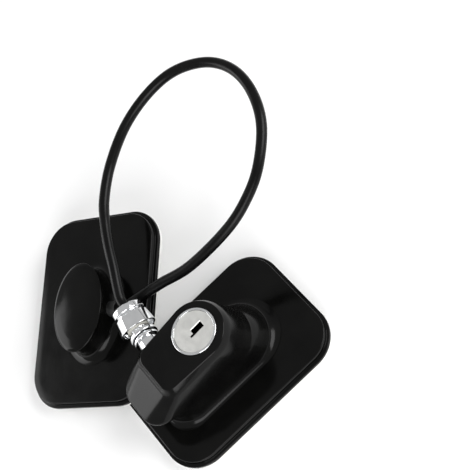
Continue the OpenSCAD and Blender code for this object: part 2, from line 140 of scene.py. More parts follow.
def soften(keys: Sequence[Sequence[float]], reach: Sequence[float], loop: bool = False,
           steps: int = 5, weigh: Sequence[int] | None = None) -> np.ndarray:
    """Rounds the corners of a profile.

    Each corner P becomes the quadratic curve (1-t)^2 A + 2t(1-t) P + t^2 B, where
    A and B lie back along the two edges by that corner's reach, or by just under
    half an edge where the edge is short.

    Args:
        keys: the profile's corners, each a row of any number of values.
        reach: how far each corner's rounding reaches along its edges.
        loop: whether the profile closes on itself.
        steps: spans per rounded corner.
        weigh: the columns that lengths are measured in, or None for all.

    Returns:
        An array of profile points.
    """
    p = np.asarray(keys, float)
    q = p if weigh is None else p[:, list(weigh)]
    count = len(p)
    out = []
    for i in range(count):
        if reach[i] <= 0 or (not loop and i in (0, count - 1)):
            out.append(p[i][None])
            continue
        before, after = (i - 1) % count, (i + 1) % count
        a = min(0.49, reach[i] / max(1e-9, np.linalg.norm(q[before] - q[i])))
        b = min(0.49, reach[i] / max(1e-9, np.linalg.norm(q[after] - q[i])))
        start, end = p[i] + a * (p[before] - p[i]), p[i] + b * (p[after] - p[i])
        t = np.linspace(0, 1, steps + 1)[:, None]
        out.append((1 - t) ** 2 * start + 2 * t * (1 - t) * p[i] + t**2 * end)
    return np.vstack(out)


class Ends(Enum):
    """How the first and last rows of a skin are closed."""

    LOOP = "loop"
    CAPS = "caps"


def skin(name: str, rows: np.ndarray, ends: Ends, pose: Pose = FLOOR) -> bpy.types.Object:
    """A closed mesh over a grid of rows that each run round in a ring.

    Args:
        name: the piece's name.
        rows: array (row, place round the ring, 3) in the pose's frame, millimetres.
        ends: LOOP joins the last row to the first; CAPS closes both with a pole.
        pose: the frame that the rows are in.

    Returns:
        The new object, with faces pointing outwards.
    """
    m, n, _ = rows.shape
    points = rows.reshape(-1, 3)
    i = np.arange(m if ends is Ends.LOOP else m - 1)[:, None]
    k = np.arange(n)[None]
    a, b = i * n + k, i * n + (k + 1) % n
    c, d = ((i + 1) % m) * n + (k + 1) % n, ((i + 1) % m) * n + k
    quads = np.stack([a, b, c, d], -1).reshape(-1, 4)
    fans = np.zeros((0, 3), int)
    if ends is Ends.CAPS:
        points = np.vstack([points, rows[0].mean(0), rows[-1].mean(0)])
        ring = np.arange(n)
        nxt = (ring + 1) % n
        low = np.stack([nxt, ring, np.full(n, m * n)], -1)
        high = np.stack([(m - 1) * n + ring, (m - 1) * n + nxt, np.full(n, m * n + 1)], -1)
        fans = np.vstack([low, high])
    tris = np.vstack([quads[:, :3], quads[:, [0, 2, 3]], fans])
    volume = np.einsum("ij,ij->i", points[tris[:, 0]],
                       np.cross(points[tris[:, 1]], points[tris[:, 2]])).sum()
    if volume < 0:
        quads, fans = quads[:, ::-1], fans[:, ::-1]
    mesh = bpy.data.meshes.new(name)
    mesh.from_pydata(pose.apply(points) * MM, [], quads.tolist() + fans.tolist())
    return add_object(name, mesh)


def add_object(name: str, data: bpy.types.ID) -> bpy.types.Object:
    """Links a new object that holds the given mesh or curve."""
    thing = bpy.data.objects.new(name, data)
    bpy.context.scene.collection.objects.link(thing)
    return thing


def lathe(name: str, profile: np.ndarray, ends: Ends, pose: Pose, count: int = 96
          ) -> bpy.types.Object:
    """A profile of (radius, height) turned once about the pose's Z axis.

    The point at angle u on profile point (r, h) is (r cos u, r sin u, h).

    Args:
        name: the piece's name.
        profile: array (points, 2), millimetres.
        ends: LOOP for a ring-shaped piece, CAPS where it ends on the axis.
        pose: the frame of the axis.
        count: places round the axis.

    Returns:
        The new object.
    """
    u = np.linspace(0, 2 * np.pi, count, endpoint=False)
    r, h = profile[:, :1], profile[:, 1:]
    rows = np.stack([r * np.cos(u), r * np.sin(u), h + 0 * u], -1)
    return skin(name, rows, ends, pose)


def rod(name: str, radius: float, low: float, high: float, pose: Pose, count: int = 64
        ) -> bpy.types.Object:
    """A plain round cutter from low to high along the pose's Z axis."""
    return lathe(name, np.array([[radius, low], [radius, high]]), Ends.CAPS, pose, count)


def block(name: str, low: Sequence[float], high: Sequence[float], pose: Pose,
          spread: float = 0.0) -> bpy.types.Object:
    """A straight-sided cutter between two corners, whose top may spread outwards.

    Args:
        name: the cutter's name.
        low: lowest corner.
        high: highest corner.
        pose: its frame.
        spread: how far each side leans out at the top.

    Returns:
        The new object.
    """
    x, y = np.array([-1, 1, 1, -1]), np.array([-1, -1, 1, 1])
    rows = []
    for z, grow in ((low[2], 0.0), (high[2], spread)):
        half = [(high[i] - low[i]) / 2 + grow for i in (0, 1)]
        mid = [(high[i] + low[i]) / 2 for i in (0, 1)]
        rows.append(np.stack([mid[0] + half[0] * x, mid[1] + half[1] * y, z + 0 * x], -1))
    return skin(name, np.array(rows), Ends.CAPS, pose)


def carve(piece: bpy.types.Object, cutters: Sequence[bpy.types.Object]) -> None:
    """Takes the cutters' shapes out of a piece, and removes the cutters.

    Args:
        piece: the piece to cut.
        cutters: closed meshes.
    """
    for cutter in cutters:
        cut = piece.modifiers.new("carve", "BOOLEAN")
        cut.operation, cut.object, cut.solver = "DIFFERENCE", cutter, "EXACT"
    fix_shape(piece)
    for cutter in cutters:
        bpy.data.objects.remove(cutter)


def fix_shape(piece: bpy.types.Object) -> None:
    """Makes a piece's modifiers part of its mesh."""
    seen = piece.evaluated_get(bpy.context.evaluated_depsgraph_get())
    mesh = bpy.data.meshes.new_from_object(seen)
    piece.modifiers.clear()
    piece.data = mesh


def polish(piece: bpy.types.Object, degrees: float = 32.0) -> None:
    """Shades a piece smooth, with edges sharper than the angle kept crisp."""
    mesh = piece.data
    mesh.polygons.foreach_set("use_smooth", np.ones(len(mesh.polygons), bool))
    mesh.set_sharp_from_angle(angle=float(np.radians(degrees)))
    mesh.update()


# --------------------------------------------------------------- materials
class Tree:
    """A short way to write a material's nodes."""

    def __init__(self, name: str) -> None:
        """Starts a material with a Principled shader and Object coordinates."""
        self.material = bpy.data.materials.new(name)
        self.material.use_nodes = True
        self.nodes = self.material.node_tree.nodes
        self.links = self.material.node_tree.links
        self.shader = self.nodes["Principled BSDF"]
        self.place = self.add("ShaderNodeTexCoord").outputs["Object"]

    def add(self, kind: str, values: dict | None = None, **settings: object) -> bpy.types.Node:
        """Adds a node.

        Args:
            kind: the node's type name.
            values: input name to a value or to an output socket.
            **settings: the node's own settings.

        Returns:
            The node.
        """
        node = self.nodes.new(kind)
        for key, value in settings.items():
            setattr(node, key, value)
        for key, value in (values or {}).items():
            if isinstance(value, bpy.types.NodeSocket):
                self.links.new(value, node.inputs[key])
            else:
                node.inputs[key].default_value = value
        return node

    def noise(self, scale: float, detail: float = 3.0, rough: float = 0.5,
              place: bpy.types.NodeSocket | None = None) -> bpy.types.NodeSocket:
        """The grey output of a noise with this many bumps to the metre."""
        values = {"Vector": place or self.place, "Scale": scale, "Detail": detail,
                  "Roughness": rough}
        return self.add("ShaderNodeTexNoise", values).outputs["Fac"]

    def span(self, source: bpy.types.NodeSocket, low: float, high: float,
             from_low: float = 0.3, from_high: float = 0.7) -> bpy.types.NodeSocket:
        """Maps a grey value from one range to another."""
        values = {"Value": source, "From Min": from_low, "From Max": from_high,
                  "To Min": low, "To Max": high}
        return self.add("ShaderNodeMapRange", values).outputs["Result"]

    def tint(self, source: bpy.types.NodeSocket, dark: Sequence[float],
             light: Sequence[float]) -> None:
        """Colours the surface between two colours by a grey value."""
        ramp = self.add("ShaderNodeValToRGB", {"Fac": source})
        ramp.color_ramp.elements[0].position = 0.35
        ramp.color_ramp.elements[1].position = 0.65
        ramp.color_ramp.elements[0].color = (*dark, 1.0)
        ramp.color_ramp.elements[1].color = (*light, 1.0)
        self.links.new(ramp.outputs["Color"], self.shader.inputs["Base Color"])

    def bump(self, height: bpy.types.NodeSocket, depth_mm: float, strength: float = 1.0,
             below: bpy.types.NodeSocket | None = None) -> bpy.types.NodeSocket:
        """A bump of this depth, over another one where given.

        Args:
            height: the grey height.
            depth_mm: depth between black and white.
            strength: share of the bump to use.
            below: the normal of a bump underneath.

        Returns:
            The normal output, also linked to the shader.
        """
        values = {"Height": height, "Distance": depth_mm * MM, "Strength": strength}
        if below is not None:
            values["Normal"] = below
        normal = self.add("ShaderNodeBump", values).outputs["Normal"]
        self.links.new(normal, self.shader.inputs["Normal"])
        return normal

    def rough(self, source: bpy.types.NodeSocket) -> None:
        """Drives the roughness with a grey value."""
        self.links.new(source, self.shader.inputs["Roughness"])


@dataclass(frozen=True)
class MouldedPlastic:
    """Black moulded plastic with a faint mould grain and wiped-on dust."""

    name: str
    dark: tuple[float, float, float] = (0.0015, 0.0015, 0.0014)
    light: tuple[float, float, float] = (0.0028, 0.0028, 0.0026)
    gloss: tuple[float, float] = (0.10, 0.17)
    grain_mm: float = 0.004
    ior: float = 1.24

    def make(self) -> bpy.types.Material:
        """Builds the material."""
        tree = Tree(self.name)
        tree.tint(tree.noise(90.0, 4.0), self.dark, self.light)
        tree.rough(tree.span(tree.noise(140.0, 5.0, 0.6), *self.gloss))
        swell = tree.bump(tree.noise(160.0, 2.0), self.grain_mm * 3)
        tree.bump(tree.noise(2600.0, 2.0), self.grain_mm, 0.5, swell)
        tree.shader.inputs["IOR"].default_value = self.ior
        return tree.material


@dataclass(frozen=True)
class Metal:
    """Bare or plated metal with a fine surface grain."""

    name: str
    dark: tuple[float, float, float] = (0.60, 0.60, 0.59)
    light: tuple[float, float, float] = (0.72, 0.72, 0.70)
    gloss: tuple[float, float] = (0.22, 0.34)
    grain_mm: float = 0.003
    grain_scale: float = 3000.0

    def make(self) -> bpy.types.Material:
        """Builds the material."""
        tree = Tree(self.name)
        tree.shader.inputs["Metallic"].default_value = 1.0
        tree.tint(tree.noise(220.0, 4.0), self.dark, self.light)
        tree.rough(tree.span(tree.noise(400.0, 5.0, 0.6), *self.gloss))
        tree.bump(tree.noise(self.grain_scale, 3.0), self.grain_mm)
        return tree.material


@dataclass(frozen=True)
class TurnedMetal:
    """Satin plated metal with fine rings from the lathe about an axis.

    The rings are a sine of the distance from the axis, broken up by noise. The colour
    falls to black below the face, as the keyway does in shade.
    """

    name: str
    centre: tuple[float, float, float]
    turns: tuple[float, float, float]
    gloss: tuple[float, float] = (0.42, 0.52)
    ring_mm: float = 0.22

    def make(self) -> bpy.types.Material:
        """Builds the material."""
        tree = Tree(self.name)
        tree.shader.inputs["Metallic"].default_value = 1.0
        place = tree.add("ShaderNodeMapping", {
            "Vector": tree.place, "Location": [c * MM for c in self.centre],
            "Rotation": [np.radians(t) for t in self.turns]}, vector_type="TEXTURE")
        flat = tree.add("ShaderNodeVectorMath", {0: place.outputs[0], 1: (1.0, 1.0, 0.0)},
                        operation="MULTIPLY")
        radius = tree.add("ShaderNodeVectorMath", {0: flat.outputs[0]}, operation="LENGTH")
        ripple = tree.noise(350.0, 2.0)
        scaled = tree.add("ShaderNodeMath", {
            0: radius.outputs["Value"], 1: 2 * np.pi / (self.ring_mm * MM)},
            operation="MULTIPLY")
        shift = tree.add("ShaderNodeMath", {0: ripple, 1: 3.0}, operation="MULTIPLY")
        total = tree.add("ShaderNodeMath", {0: scaled.outputs[0], 1: shift.outputs[0]},
                         operation="ADD")
        rings = tree.add("ShaderNodeMath", {0: total.outputs[0]}, operation="SINE")
        parts = tree.add("ShaderNodeSeparateXYZ", {0: place.outputs[0]})
        worn = tree.noise(260.0, 4.0)
        # painted shade: the colour falls to black below the face, down into the keyway
        keyway_shade = tree.add("ShaderNodeMapRange", {
            "Value": parts.outputs["Z"], "From Min": -0.5 * MM, "From Max": 0.4 * MM,
            "To Min": 0.0, "To Max": 0.57})
        lit = tree.add("ShaderNodeMath", {0: worn, 1: 0.1}, operation="MULTIPLY")
        tone = tree.add("ShaderNodeMath", {0: keyway_shade.outputs[0], 1: lit.outputs[0]},
                        operation="ADD")
        tree.tint(tone.outputs[0], (0.0, 0.0, 0.0), (0.9, 0.9, 0.87))
        tree.rough(tree.span(tree.noise(500.0, 4.0), *self.gloss))
        below = tree.bump(rings.outputs[0], 0.0022)
        tree.bump(tree.noise(4000.0, 2.0), 0.003, 0.6, below)
        return tree.material


@dataclass(frozen=True)
class FoamTape:
    """White closed-cell foam: fine round cells and a slightly uneven tone."""

    name: str

    def make(self) -> bpy.types.Material:
        """Builds the material."""
        tree = Tree(self.name)
        cells = tree.add("ShaderNodeTexVoronoi", {"Vector": tree.place, "Scale": 3200.0})
        tree.tint(tree.noise(300.0, 4.0), (0.74, 0.74, 0.71), (0.84, 0.84, 0.82))
        tree.bump(cells.outputs["Distance"], 0.06)
        tree.rough(tree.span(tree.noise(900.0), 0.75, 0.9))
        return tree.material


@dataclass(frozen=True)
class SoftRubber:
    """Matt rubber with a fine bloom and grain."""

    name: str

    def make(self) -> bpy.types.Material:
        """Builds the material."""
        tree = Tree(self.name)
        tree.tint(tree.noise(700.0, 4.0), (0.008, 0.008, 0.008), (0.022, 0.022, 0.022))
        tree.rough(tree.span(tree.noise(500.0), 0.42, 0.6))
        tree.bump(tree.noise(3500.0, 4.0), 0.02)
        return tree.material


@dataclass
class Finishes:
    """Every material of the object, made once."""

    gloss_black: bpy.types.Material = field(
        default_factory=MouldedPlastic("gloss_black_plastic").make)
    block_black: bpy.types.Material = field(default_factory=MouldedPlastic(
        "satin_black_block", (0.002, 0.002, 0.002), (0.004, 0.004, 0.0038), (0.13, 0.19),
        0.005).make)
    vinyl: bpy.types.Material = field(default_factory=MouldedPlastic(
        "black_vinyl_sleeve", (0.002, 0.002, 0.002), (0.004, 0.004, 0.004), (0.20, 0.32),
        0.008).make)
    foam: bpy.types.Material = field(default_factory=FoamTape("white_foam_tape").make)
    rubber: bpy.types.Material = field(default_factory=SoftRubber("black_rubber").make)
    acetal: bpy.types.Material = field(default_factory=MouldedPlastic(
        "natural_acetal", (0.66, 0.65, 0.58), (0.74, 0.73, 0.67), (0.35, 0.5)).make)
    bright: bpy.types.Material = field(default_factory=Metal(
        "bright_chrome", (0.78, 0.79, 0.80), (0.86, 0.87, 0.88), (0.04, 0.09), 0.001).make)
    satin: bpy.types.Material = field(default_factory=TurnedMetal(
        "satin_chrome_face", LEAN.origin, (FACE_LEAN, 0.0, 0.0)).make)
    pressed: bpy.types.Material = field(default_factory=Metal("zinc_plated_pressing").make)
    screw: bpy.types.Material = field(default_factory=Metal(
        "plain_screw_steel", (0.5, 0.5, 0.5), (0.62, 0.62, 0.62), (0.25, 0.4)).make)
    spring: bpy.types.Material = field(default_factory=Metal(
        "drawn_spring_wire", (0.42, 0.42, 0.43), (0.55, 0.55, 0.56), (0.2, 0.35)).make)
    rope: bpy.types.Material = field(default_factory=Metal(
        "laid_rope_steel", (0.45, 0.45, 0.46), (0.6, 0.6, 0.6), (0.25, 0.4), 0.02, 1200.0).make)
    # wafer brass darkened almost to black: painted shade for the wafers deep inside the core
    brass: bpy.types.Material = field(default_factory=Metal(
        "shade_darkened_wafer_brass", (0.03, 0.022, 0.01), (0.06, 0.045, 0.02), (0.2, 0.32)).make)
    crimp: bpy.types.Material = field(default_factory=Metal(
        "crimped_aluminium", (0.62, 0.63, 0.64), (0.74, 0.75, 0.76), (0.3, 0.45), 0.01).make)


def dress(piece: bpy.types.Object, material: bpy.types.Material) -> None:
    """Gives a piece one material."""
    piece.data.materials.clear()
    piece.data.materials.append(material)


def settle(piece: bpy.types.Object, material: bpy.types.Material, body: str, node: str,
           smooth: bool = True) -> None:
    """Dresses a finished piece, lets it ride, and has it stand for its CAD node.

    Args:
        piece: the finished piece.
        material: its finish.
        body: the CAD body that it rides on.
        node: the CAD node that it stands for.
        smooth: whether to shade it smooth.
    """
    dress(piece, material)
    if smooth and piece.type == "MESH":
        polish(piece)
    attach(piece, body)
    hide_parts(node)
    log.info("%s stands for %s on %s", piece.name, node, body)


# ------------------------------------------------------------------- cable
@dataclass
class Cable:
    """The sleeved steel cable, from inside the swivel cap to inside the knob."""

    diameter: float = 4.0
    route: tuple[tuple[float, float, float], ...] = (
        on_axis(CUP, 4.8), on_axis(CUP, 9), on_axis(CUP, 12.5), (-36.9, -10, 29.6),
        (-43.6, -5.8, 32), (-50.6, -2, 33.7), (-58, 2.5, 35), (-66, 8.5, 36), (-74.3, 19, 38),
        (-80, 33, 41.5), (-81, 47.5, 45), (-77.5, 60, 48), (-68.5, 70, 50.3),
        (-57, 74.5, 51.4), (-44, 73.5, 51.3), (-31.5, 67.5, 49.8), (-22, 56.5, 46.3),
        (-18, 46, 42.5), (-17.3, 33.5, 37.7), (-21.7, 15, 30.2), (-28.3, 2.3, 25.2),
        (-33.2, -9.2, 21.4), on_axis(KNOB_EXIT, 15.5), on_axis(KNOB_EXIT, 11),
        on_axis(KNOB_EXIT, 6))
    steps: int = 8

    def line(self) -> np.ndarray:
        """The centreline through the route's points.

        Between points b and c with neighbours a and d, the place at t is the
        Catmull-Rom curve (2b + (c-a)t + (2a-5b+4c-d)t^2 + (3b-a-3c+d)t^3) / 2.

        Returns:
            Points in millimetres.
        """
        p = np.array(self.route)
        a, b = np.vstack([p[:1], p[:-2]]), p[:-1]
        c, d = p[1:], np.vstack([p[2:], p[-1:]])
        t = np.linspace(0, 1, self.steps, endpoint=False)[None, :, None]
        a, b, c, d = (x[:, None] for x in (a, b, c, d))
        curve = 0.5 * (2 * b + (c - a) * t + (2 * a - 5 * b + 4 * c - d) * t**2
                       + (3 * b - a - 3 * c + d) * t**3)
        return np.vstack([curve.reshape(-1, 3), p[-1:]])

    def build(self, finishes: Finishes) -> None:
        line = self.line() * MM
        curve = bpy.data.curves.new("cable_sleeve_round", "CURVE")
        curve.dimensions = "3D"
        curve.bevel_depth = self.diameter / 2 * MM
        curve.bevel_resolution = 7
        curve.use_fill_caps = True
        spline = curve.splines.new("POLY")
        spline.points.add(len(line) - 1)
        spline.points.foreach_set("co", np.c_[line, np.ones(len(line))].ravel())
        sleeve = add_object("cable_sleeve_round", curve)
        settle(sleeve, finishes.vinyl, "cable_side", "cable_sleeve")


# ------------------------------------------------------------------ plates
@dataclass
class MountingPlate:
    """A stepped rounded plate and its pad of foam tape."""

    prefix: str
    body: str
    pose: Pose
    screws: tuple[tuple[float, float], ...]
    half: tuple[float, float] = (27.5, 37.5)
    corner: float = 13.5
    tape: float = 1.5
    rim: float = 1.6
    thick: float = 3.8
    step: float = 1.2

    def rows(self, keys: np.ndarray) -> np.ndarray:
        """Rounded rectangles at each (inset, height).

        A point is its corner's centre plus (corner radius - inset) times the
        outward direction, so every inset keeps the same centres.

        Args:
            keys: array (rows, 2) of inset and height.

        Returns:
            Array (rows, places, 3).
        """
        u = np.linspace(0, np.pi / 2, 25)[None] + np.arange(4)[:, None] * np.pi / 2
        sx = np.array([1, -1, -1, 1])[:, None] + 0 * u
        sy = np.array([1, 1, -1, -1])[:, None] + 0 * u
        u, sx, sy = u.ravel(), sx.ravel(), sy.ravel()
        r = self.corner - keys[:, :1]
        x = sx * (self.half[0] - self.corner) + r * np.cos(u)
        y = sy * (self.half[1] - self.corner) + r * np.sin(u)
        return np.stack([x, y, keys[:, 1:] + 0 * u], -1)

    def build(self, finishes: Finishes) -> None:
        """Makes the plate with its screw holes, and the tape pad."""
        low, mid, top = self.tape, self.tape + self.rim, self.tape + self.thick
        keys = soften(
            [(3, low), (0, low), (0, mid), (self.step, mid), (self.step + 0.25, top), (5, top)],
            (0, 0.3, 0.45, 0.25, 0.5, 0), steps=6)
        plate = skin(self.prefix + "_plate_shell", self.rows(keys), Ends.CAPS, self.pose)
        holes = []
        for x, y in self.screws:
            spot = Pose((x, y, self.tape), (), self.pose)
            holes.append(rod("hole", 1.6, -1, 6, spot, 32))
            holes.append(lathe("sink", np.array([[3.2, -1], [3.0, 0], [1.5, 1.6]]), Ends.CAPS,
                               spot, 48))
        carve(plate, holes)
        settle(plate, finishes.gloss_black, self.body, self.prefix + "_plate")
        edge = soften([(3, 0), (0.35, 0), (0.3, low), (3, low)], (0, 0.15, 0.15, 0))
        pad = skin(self.prefix + "_tape_pad", self.rows(edge), Ends.CAPS, self.pose)
        settle(pad, finishes.foam, self.body, self.prefix + "_adhesive_pad")


# -------------------------------------------------------------- lock block
@dataclass
class LockBlock:
    """The block with its flared foot, sloped end and seat for the cylinder."""

    deck: float = 5.3
    seat: float = 8.65
    bore: float = 6.95
    chamber: float = 8.6
    shaft: float = 3.05

    def outline(self, keys: np.ndarray) -> np.ndarray:
        """Block outlines in their own tilted planes.

        Each is a half circle of radius `half` about (0, top), straight sides, and
        two corners of radius `corner` at the low end. A plane tilted by T through
        the cylinder's axis carries (x, y, w) to y cos T - w sin T and
        y sin T + w cos T.

        Args:
            keys: array (rows, 7) of half width, top, low, corner, height w, tilt, and
                how much narrower each side is at the low end.

        Returns:
            Array (rows, places, 3) in the row frame, millimetres.
        """
        half, top, low, corner, w, tilt, pinch = (keys[:, i:i + 1] for i in range(7))
        u = np.linspace(0, np.pi, 65)[None]
        arc = np.stack([half * np.cos(u), top + half * np.sin(u)], -1)
        u = np.linspace(np.pi, 1.5 * np.pi, 21)[None]
        inner = half - pinch - corner
        left = np.stack([-inner + corner * np.cos(u),
                         low + corner + corner * np.sin(u)], -1)
        u = np.linspace(1.5 * np.pi, 2 * np.pi, 21)[None]
        right = np.stack([inner + corner * np.cos(u),
                          low + corner + corner * np.sin(u)], -1)
        t = np.linspace(0, 1, 9)[None, 1:-1, None]
        side_a = arc[:, -1:] * (1 - t) + left[:, :1] * t
        foot = left[:, -1:] * (1 - t) + right[:, :1] * t
        side_b = right[:, -1:] * (1 - t) + arc[:, :1] * t
        flat = np.concatenate([arc, side_a, left, foot, right, side_b], 1)
        return self.tilted(flat, w, tilt)

    @staticmethod
    def tilted(flat: np.ndarray, w: np.ndarray, tilt: np.ndarray) -> np.ndarray:
        """Places flat outlines at height w in planes tilted about X."""
        a = np.radians(tilt)
        x, y = flat[..., 0], flat[..., 1]
        return np.stack([x, FACE_Y + y * np.cos(a) - w * np.sin(a),
                         FACE_Z + y * np.sin(a) + w * np.cos(a)], -1)

    def circles(self, keys: np.ndarray, angle: np.ndarray) -> np.ndarray:
        """Circles of (radius, height w, tilt, middle) at given angles."""
        r, w, tilt, mid = (keys[:, i:i + 1] for i in range(4))
        flat = np.stack([r * np.cos(angle), mid + r * np.sin(angle)], -1)
        return self.tilted(flat, w, tilt)

    def shell(self) -> bpy.types.Object:
        """The block's skin: up the outside, over the face and down its bore."""
        s = np.linspace(0, 1, 9)[:, None] * np.pi / 2
        rise, inward = 1 - np.cos(s), np.sin(s)
        first = np.array([14.9, 10.3, -30.0, 9.0, 5.6 - FACE_Z, 0.0, 0.0])
        last = np.array([12.75, 7.6, -27.9, 10.0, 9.2 - FACE_Z, 0.0, 0.0])
        flare = first + (last - first) * inward
        flare[:, 4:5] = first[4] + (last[4] - first[4]) * rise
        foot = first + np.array([0, 0, 0, 0, -0.3, 0, 0])
        upper = soften(
            [flare[-1], (12.3, 3.9, -27.5, 10, 15.4 - FACE_Z, 0, 0),
             (12.3, 3.0, -34.6, 8, 18.4 - FACE_Z, 0, 0),
             (12.3, 2.4, -34.9, 8, 19.8 - FACE_Z, 0.5, 0),
             (12.3, 0, -22.6, 5, -2.4, 4, 0.5), (11.3, 0, -21.5, 4.6, 0, 4, 1.3),
             (10.6, 0, -20.8, 4.2, 0, 4, 1.2)],
            (0, 1.0, 1.2, 1.4, 1.6, 0.5, 0), steps=7, weigh=(0, 2, 4))
        outside = self.outline(np.vstack([foot, flare[:-1], upper]))
        face = outside[-1] - np.array(LEAN.origin)
        angle = np.arctan2(face[:, 1] / np.cos(np.radians(FACE_LEAN)), face[:, 0])[None]
        inside = self.circles(np.array([
            (self.seat + 0.12, 0, 4, 0), (self.seat, -0.12, 4, 0), (self.seat, -2.8, 4, 0),
            (self.bore, -2.8, 4, 0), (self.bore, -14.6, 4, 0), (self.chamber, -14.6, 4, 0),
            (self.chamber, -24.0, 4, 0), (self.chamber, self.deck - FACE_Z, 0, 1.83)]), angle)
        return skin("lock_block_shell", np.concatenate([outside, inside]), Ends.LOOP)

    def build(self, finishes: Finishes) -> None:
        """Makes the block and cuts the plug's bore and the latch's channel."""
        shell = self.shell()
        cutters = [
            rod("plug_bore", self.shaft, -40, 6, PLUG),
            rod("socket_bore", 3.9, -40, -10.4, PLUG),
            block("latch_low", (-3.2, -15.8, -20.3), (3.2, -8.6, -8.7), LEAN),
            block("latch_high", (-1.4, -15.8, -19.3), (1.4, -8.6, -1.9), LEAN),
            block("latch_bar", (-3.2, -9.0, -20.3), (3.2, -6.0, -16.7), LEAN),
            block("keeper_recess", (-9.2, -15.7, -31.3), (9.2, 10.7, -19.3), LEAN),
            rod("pin_hole", 1.0, -14, 10, Pose((6.9, 0, -9), ((Axis.X, -90.0),), LEAN), 32)]
        cutters += [rod("thread", 1.45, self.deck - 1, self.deck + 7.4, Pose((x, y, 0)), 32)
                    for x, y in ((-5.5, 15), (5.5, 15), (-8, -20), (8, -20))]
        cutters += [rod("keeper_thread", 1.0, -20.3, -14.3, Pose((x, -12.5, 0), (), LEAN), 24)
                    for x in (-6.5, 6.5)]
        carve(shell, cutters)
        settle(shell, finishes.block_black, "lock", "lock_body")


# ------------------------------------------------------------ key cylinder
@dataclass
class KeyCylinder:
    """The bright rim of the housing and the turning core with its keyway."""

    rim: float = 8.6
    head: float = 7.7
    core: float = 5.4
    key_length: float = 8.0
    key_width: float = 2.3

    def housing(self, finishes: Finishes) -> None:
        """The barrel with its flange and rounded rim, a closed turned profile."""
        keys = [(5.45, -14.5), (6.9, -14.5), (6.9, -2.8), (self.rim, -2.8), (self.rim, 0.7),
                (7.75, 0.7), (7.75, -1.6), (5.45, -1.6)]
        profile = soften(keys, (0.1, 0.2, 0, 0.15, 0.3, 0.12, 0, 0.1), loop=True)
        piece = lathe("cylinder_housing_rim", profile, Ends.LOOP, LEAN, 128)
        carve(piece, [rod("pin_hole", 1.0, -14, 10,
                          Pose((6.9, 0, -9), ((Axis.X, -90.0),), LEAN), 32)])
        settle(piece, finishes.bright, "lock", "cylinder_housing")

    def turning_core(self, finishes: Finishes) -> None:
        """The core: a turned profile with the keyway and wafer slots cut out."""
        keys = [(0, -14.8), (self.core, -14.8), (self.core, -1.55), (self.head, -1.55),
                (self.head, 0.45), (0, 0.45)]
        profile = soften(keys, (0, 0.2, 0.1, 0.15, 0.25, 0))
        profile[0, 0] = profile[-1, 0] = 0.3
        piece = lathe("cylinder_core_face", profile, Ends.CAPS, LEAN, 128)
        half_l, half_w, foot = self.key_length / 2, self.key_width / 2, 0.6 * self.key_width
        long = ((-half_w, -half_l + 2), (half_w, half_l))
        short = ((-half_w, -half_l), (-half_w + foot, -half_l + 3))
        cutters = []
        for (x0, y0), (x1, y1) in (long, short):
            cutters.append(block("keyway", (x0, y0, -13.5), (x1, y1, 2), LEAN))
            cutters.append(block("keyway_edge", (x0, y0, 0.2), (x1, y1, 0.5), LEAN, 0.3))
        for i in range(5):
            z = -3.2 - 2.1 * i
            cutters.append(block("wafer_slot", (-2.7, -6.4, z - 0.85), (2.7, 6.4, z + 0.05), LEAN))
        cutters.append(rod("screw_hole", 0.95, -16, -13.0, LEAN, 24))
        carve(piece, cutters)
        settle(piece, finishes.satin, "core", "cylinder_core")

    def build(self, finishes: Finishes) -> None:
        """Makes both pieces."""
        self.housing(finishes)
        self.turning_core(finishes)


